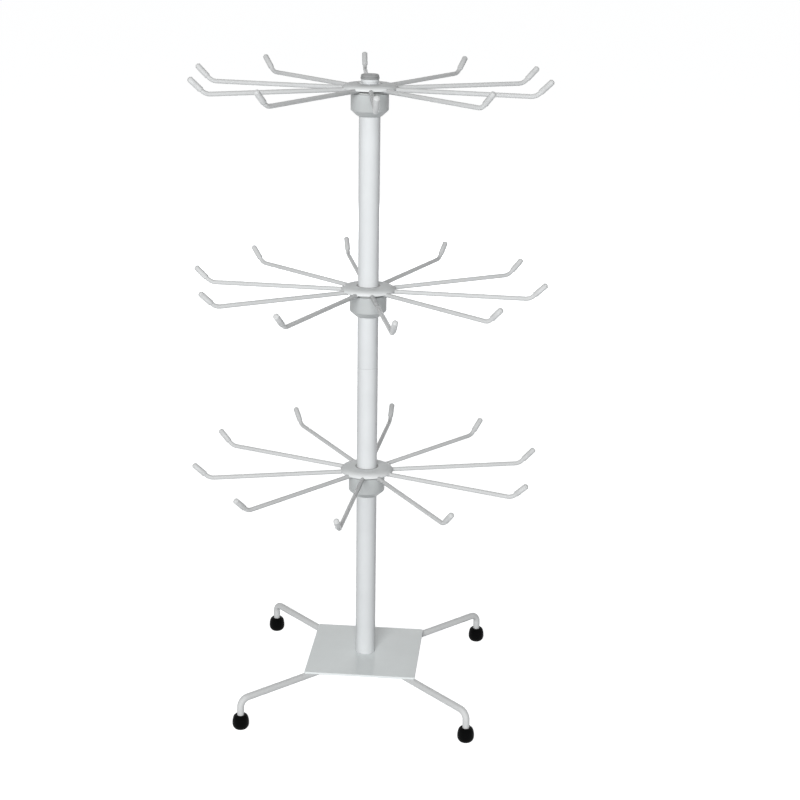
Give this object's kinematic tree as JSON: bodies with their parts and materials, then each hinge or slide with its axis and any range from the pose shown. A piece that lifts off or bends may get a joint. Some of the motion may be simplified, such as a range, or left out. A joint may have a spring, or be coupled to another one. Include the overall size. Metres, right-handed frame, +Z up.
{
  "type": "rotating display rack",
  "caption": "Countertop spinner rack: a square base on bent legs, a round pole and tiers of upturned wire hooks that turn on it.",
  "frame": {"origin": "on the floor under the pole axis, level with the undersides of the rubber feet", "axes": "+Z up along the pole, front towards -Y, the sides of the base plate along X and Y"},
  "size_m": [0.324, 0.3244, 0.5904],
  "materials": {
    "plate_coat": "smooth glossy white powder coat on steel sheet",
    "leg_coat": "semi-gloss white powder coat on steel rod",
    "pole_coat": "semi-gloss white powder coat on steel tube",
    "disc_coat": "semi-gloss white powder coat on a steel disc",
    "wire_coat": "semi-gloss white powder coat on steel wire, pale vinyl sleeve on each tip",
    "collar_coat": "satin pale grey coat on a turned collar",
    "cap_plastic": "satin grey moulded plastic",
    "foot_rubber": "black rubber, slight sheen",
    "bush_nylon": "pale grey moulded nylon",
    "washer_nylon": "natural white nylon",
    "plated_steel": "zinc plated steel"
  },
  "bodies": {
    "frame": {"base_plate": "plate_coat", "base_bolt": "plated_steel", "base_washer": "plated_steel", "pole_foot_insert": "plated_steel", "pole_lower": "pole_coat", "pole_connector": "plated_steel", "pole_upper": "pole_coat", "top_cap": "cap_plastic", "collar_grub_screws": "plated_steel", "leg_rear_right": "leg_coat", "leg_rear_left": "leg_coat", "leg_front_left": "leg_coat", "leg_front_right": "leg_coat", "foot_rear_right": "foot_rubber", "foot_rear_left": "foot_rubber", "foot_front_left": "foot_rubber", "foot_front_right": "foot_rubber", "top_collar": "collar_coat", "top_thrust_washer": "washer_nylon", "middle_collar": "collar_coat", "middle_thrust_washer": "washer_nylon", "bottom_collar": "collar_coat", "bottom_thrust_washer": "washer_nylon"},
    "top_tier": {"top_hub_disc": "disc_coat", "top_hub_bush": "bush_nylon", "top_hook_01": "wire_coat", "top_hook_02": "wire_coat", "top_hook_03": "wire_coat", "top_hook_04": "wire_coat", "top_hook_05": "wire_coat", "top_hook_06": "wire_coat", "top_hook_07": "wire_coat", "top_hook_08": "wire_coat", "top_hook_09": "wire_coat", "top_hook_10": "wire_coat"},
    "middle_tier": {"middle_hub_disc": "disc_coat", "middle_hub_bush": "bush_nylon", "middle_hook_01": "wire_coat", "middle_hook_02": "wire_coat", "middle_hook_03": "wire_coat", "middle_hook_04": "wire_coat", "middle_hook_05": "wire_coat", "middle_hook_06": "wire_coat", "middle_hook_07": "wire_coat", "middle_hook_08": "wire_coat", "middle_hook_09": "wire_coat", "middle_hook_10": "wire_coat"},
    "bottom_tier": {"bottom_hub_disc": "disc_coat", "bottom_hub_bush": "bush_nylon", "bottom_hook_01": "wire_coat", "bottom_hook_02": "wire_coat", "bottom_hook_03": "wire_coat", "bottom_hook_04": "wire_coat", "bottom_hook_05": "wire_coat", "bottom_hook_06": "wire_coat", "bottom_hook_07": "wire_coat", "bottom_hook_08": "wire_coat", "bottom_hook_09": "wire_coat", "bottom_hook_10": "wire_coat"}
  },
  "joints": [
    {"name": "top_tier_spin", "type": "hinge", "parent": "frame", "child": "top_tier", "pos_m": [0, 0, 0.577], "axis": [0, 0, 1], "continuous": true},
    {"name": "middle_tier_spin", "type": "hinge", "parent": "frame", "child": "middle_tier", "pos_m": [0, 0, 0.396], "axis": [0, 0, 1], "continuous": true},
    {"name": "bottom_tier_spin", "type": "hinge", "parent": "frame", "child": "bottom_tier", "pos_m": [0, 0, 0.222], "axis": [0, 0, 1], "continuous": true}
  ]
}
